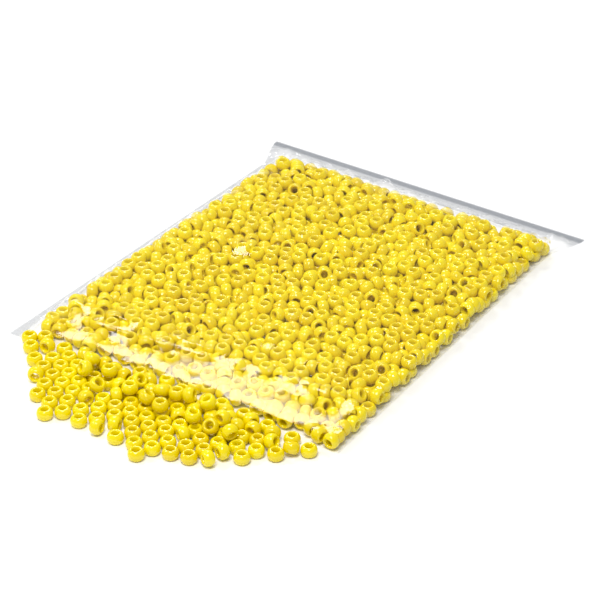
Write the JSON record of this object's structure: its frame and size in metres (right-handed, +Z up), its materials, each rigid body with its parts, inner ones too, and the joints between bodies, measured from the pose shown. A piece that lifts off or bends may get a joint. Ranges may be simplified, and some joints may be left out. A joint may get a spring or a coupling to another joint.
{
  "type": "flat poly bag",
  "caption": "Clear flat poly bag lying flat, open at one end and heat sealed at the other, full of barrel beads that spill from its mouth.",
  "frame": {"origin": "middle of the bag's flat underside, on the surface that it lies on", "axes": "+X across the bag, +Y from the open mouth to the sealed end, +Z up"},
  "size_m": [0.209, 0.3119, 0.0124],
  "materials": {
    "clear_film": "gloss",
    "yellow_bead": "gloss"
  },
  "bodies": {
    "root": {"bag_film": "clear_film", "bead_fill": "yellow_bead", "spilled_bead_01": "yellow_bead", "spilled_bead_02": "yellow_bead", "spilled_bead_03": "yellow_bead", "spilled_bead_04": "yellow_bead", "spilled_bead_05": "yellow_bead", "spilled_bead_06": "yellow_bead", "spilled_bead_07": "yellow_bead", "spilled_bead_08": "yellow_bead", "spilled_bead_09": "yellow_bead", "spilled_bead_10": "yellow_bead", "spilled_bead_11": "yellow_bead", "spilled_bead_12": "yellow_bead", "spilled_bead_13": "yellow_bead", "spilled_bead_14": "yellow_bead", "spilled_bead_15": "yellow_bead", "spilled_bead_16": "yellow_bead", "spilled_bead_17": "yellow_bead", "spilled_bead_18": "yellow_bead", "spilled_bead_19": "yellow_bead", "spilled_bead_20": "yellow_bead", "spilled_bead_21": "yellow_bead", "spilled_bead_22": "yellow_bead", "spilled_bead_23": "yellow_bead", "spilled_bead_24": "yellow_bead", "spilled_bead_25": "yellow_bead", "spilled_bead_26": "yellow_bead", "spilled_bead_27": "yellow_bead", "spilled_bead_28": "yellow_bead", "spilled_bead_29": "yellow_bead", "spilled_bead_30": "yellow_bead", "spilled_bead_31": "yellow_bead", "spilled_bead_32": "yellow_bead", "spilled_bead_33": "yellow_bead", "spilled_bead_34": "yellow_bead", "spilled_bead_35": "yellow_bead", "spilled_bead_36": "yellow_bead", "spilled_bead_37": "yellow_bead", "spilled_bead_38": "yellow_bead", "spilled_bead_39": "yellow_bead", "spilled_bead_40": "yellow_bead", "spilled_bead_41": "yellow_bead", "spilled_bead_42": "yellow_bead", "spilled_bead_43": "yellow_bead", "spilled_bead_44": "yellow_bead"}
  },
  "joints": []
}
